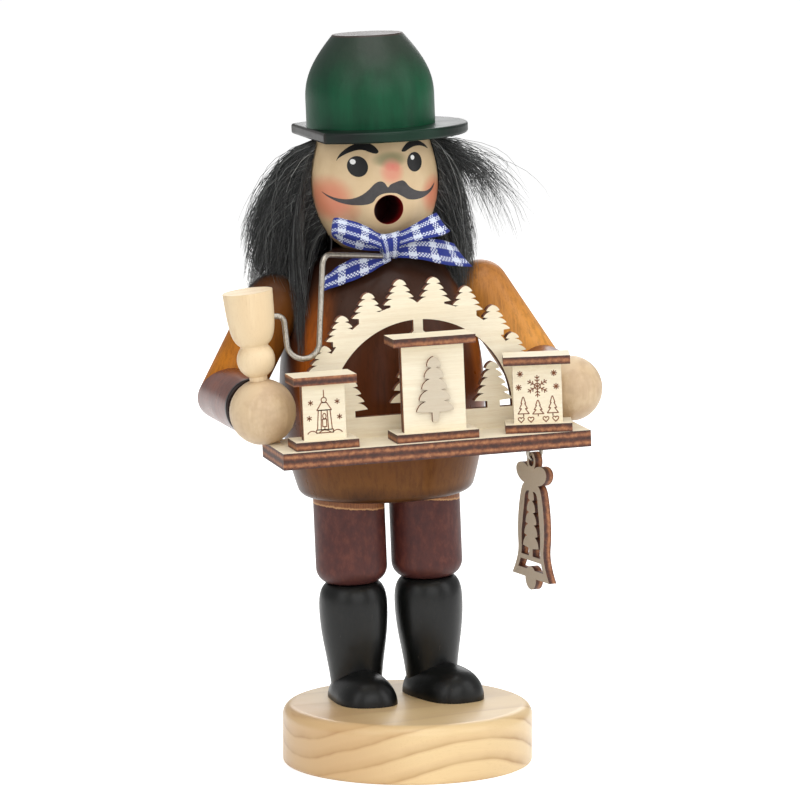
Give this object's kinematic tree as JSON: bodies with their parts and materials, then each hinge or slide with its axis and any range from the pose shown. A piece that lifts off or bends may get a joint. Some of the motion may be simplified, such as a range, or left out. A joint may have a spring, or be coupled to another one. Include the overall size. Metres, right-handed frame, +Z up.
{
  "type": "incense smoker figure",
  "caption": "Turned-wood incense smoker: a peddler with hat, bow tie, pipe and a tray of toy stalls; the hollow body lifts off its seat over the cone dish.",
  "frame": {"origin": "centre of the base disc's underside", "axes": "+Z up, -Y towards the figure's front, -X towards its pipe hand"},
  "size_m": [0.105, 0.0926, 0.2005],
  "materials": {
    "bare_pine": "clear lacquer",
    "boot_black": "gloss lacquer",
    "trouser_wine": "satin varnish",
    "coat_brown": "gloss lacquer",
    "sleeve_ochre": "gloss lacquer",
    "cuff_brown": "gloss lacquer",
    "face_tan": "satin lacquer",
    "hat_green": "gloss lacquer",
    "hair_fur": "long fur",
    "gingham_ribbon": "woven",
    "birch_plywood": "laser cut, burnt edges",
    "steel_wire": "drawn",
    "dish_tin": "pressed sheet",
    "beech_inside": "bare"
  },
  "bodies": {
    "stand": {"base_disc": "bare_pine", "leg_dowels": "beech_inside", "right_boot_shaft": "boot_black", "left_boot_shaft": "boot_black", "right_boot_foot": "boot_black", "left_boot_foot": "boot_black", "right_trouser_leg": "trouser_wine", "left_trouser_leg": "trouser_wine", "seat_plug": "beech_inside", "incense_dish": "dish_tin", "dish_nail": "steel_wire"},
    "figure": {"bell_eye": "steel_wire", "bow_knot": "gingham_ribbon", "bow_left_loop": "gingham_ribbon", "bow_left_tail": "gingham_ribbon", "bow_right_loop": "gingham_ribbon", "bow_right_tail": "gingham_ribbon", "candle_arch": "birch_plywood", "centre_stall_base": "birch_plywood", "centre_stall_panel": "birch_plywood", "centre_stall_roof": "birch_plywood", "centre_stall_tree": "birch_plywood", "elbow_dowels": "beech_inside", "hair": "hair_fur", "hat_brim": "hat_green", "hat_crown": "hat_green", "hat_dowel": "beech_inside", "head": "face_tan", "left_forearm": "cuff_brown", "left_hand": "bare_pine", "left_stall_base": "birch_plywood", "left_stall_panel": "birch_plywood", "left_stall_roof": "birch_plywood", "left_upper_arm": "sleeve_ochre", "pipe": "bare_pine", "pipe_wire_stem": "steel_wire", "right_forearm": "cuff_brown", "right_hand": "bare_pine", "right_stall_base": "birch_plywood", "right_stall_panel": "birch_plywood", "right_stall_roof": "birch_plywood", "right_upper_arm": "sleeve_ochre", "shoulder_dowels": "beech_inside", "torso_barrel": "coat_brown", "tray": "birch_plywood", "tray_pins": "beech_inside", "wrist_dowels": "beech_inside"},
    "ornament": {"bell_ornament": "birch_plywood"}
  },
  "joints": [
    {"name": "figure_lift", "type": "slide", "parent": "stand", "child": "figure", "axis": [-0.0419, 0, 0.9991], "range_m": [0, 0.06]},
    {"name": "ornament_swing", "type": "hinge", "parent": "figure", "child": "ornament", "pos_m": [0.02641, -0.035, 0.08789], "axis": [0.9816, 0.1908, 0], "range_deg": [-25, 25]}
  ]
}
